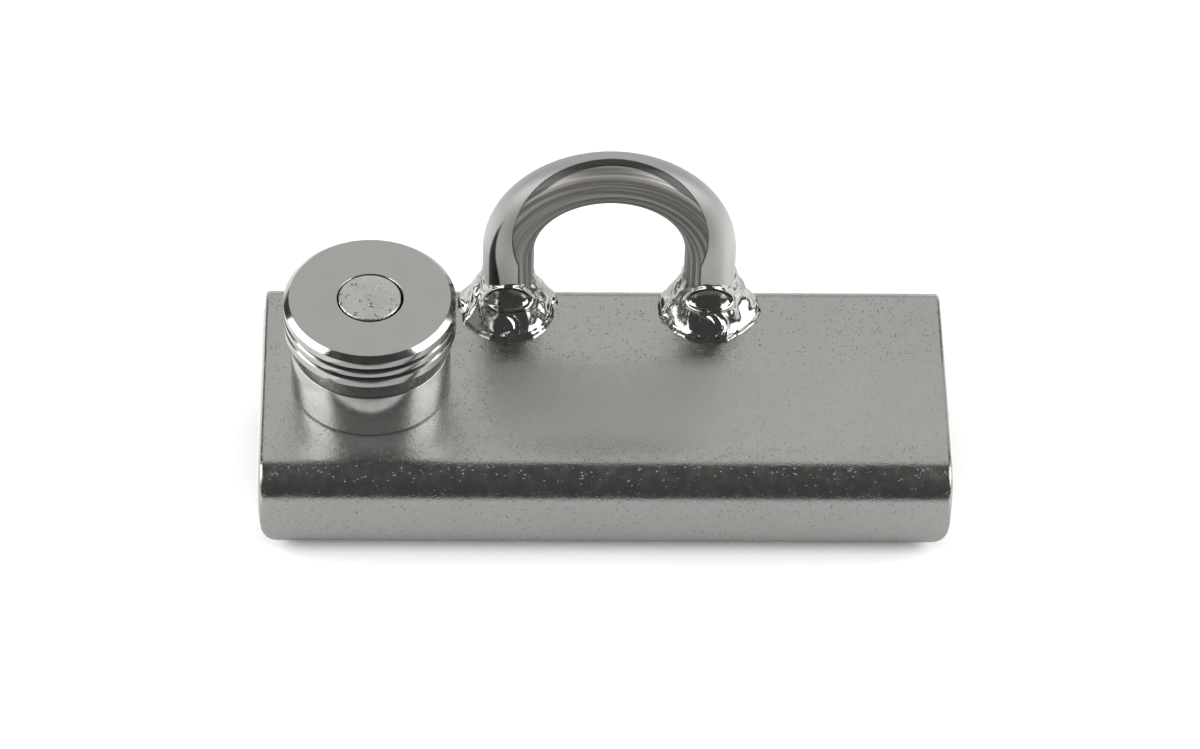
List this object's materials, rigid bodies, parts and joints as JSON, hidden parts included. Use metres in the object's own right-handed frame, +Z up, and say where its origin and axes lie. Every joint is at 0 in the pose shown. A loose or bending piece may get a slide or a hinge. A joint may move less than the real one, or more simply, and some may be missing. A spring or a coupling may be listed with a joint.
{
  "type": "t-track slider with fixed eye",
  "caption": "Stainless C-channel T-track slider with a welded round-bar eye, a plastic liner and a spring-loaded stop plunger with a grooved round knob.",
  "frame": {"origin": "on the liner's downward-facing running face, which slides on the track's top, at mid-length and on the centre line", "axes": "+X along the track, away from the plunger; +Y across the track, towards the eye's side; +Z up, out of the track"},
  "size_m": [0.0756, 0.0311, 0.0341],
  "materials": {
    "plate_steel": "polished stainless sheet with fine orange peel",
    "bar_steel": "polished stainless bar with faint draw lines",
    "weld_steel": "bright rippled weld metal, electropolished",
    "turned_steel": "turned and polished stainless",
    "spring_steel": "drawn stainless spring wire",
    "liner_plastic": "natural acetal, satin"
  },
  "bodies": {
    "slider": {"slider_body": "plate_steel", "track_liner": "liner_plastic", "eye_bow": "bar_steel", "eye_weld_left": "weld_steel", "eye_weld_right": "weld_steel", "plunger_housing": "turned_steel", "housing_weld": "weld_steel", "plunger_spring": "spring_steel"},
    "spring_seat": {"spring_washer": "turned_steel"},
    "plunger": {"plunger_pin": "turned_steel", "plunger_knob": "turned_steel", "pin_snap_ring": "spring_steel"}
  },
  "joints": [
    {"name": "plunger_lift", "type": "slide", "parent": "slider", "child": "spring_seat", "axis": [0, 0, 1], "range_m": [0, 0.0042], "stiffness_N_per_m": 1000, "springref_m": -0.005, "deforming": ["plunger_spring"]},
    {"name": "plunger_spin", "type": "hinge", "parent": "spring_seat", "child": "plunger", "pos_m": [-0.0256, 0, 0], "axis": [0, 0, 1], "continuous": true}
  ]
}
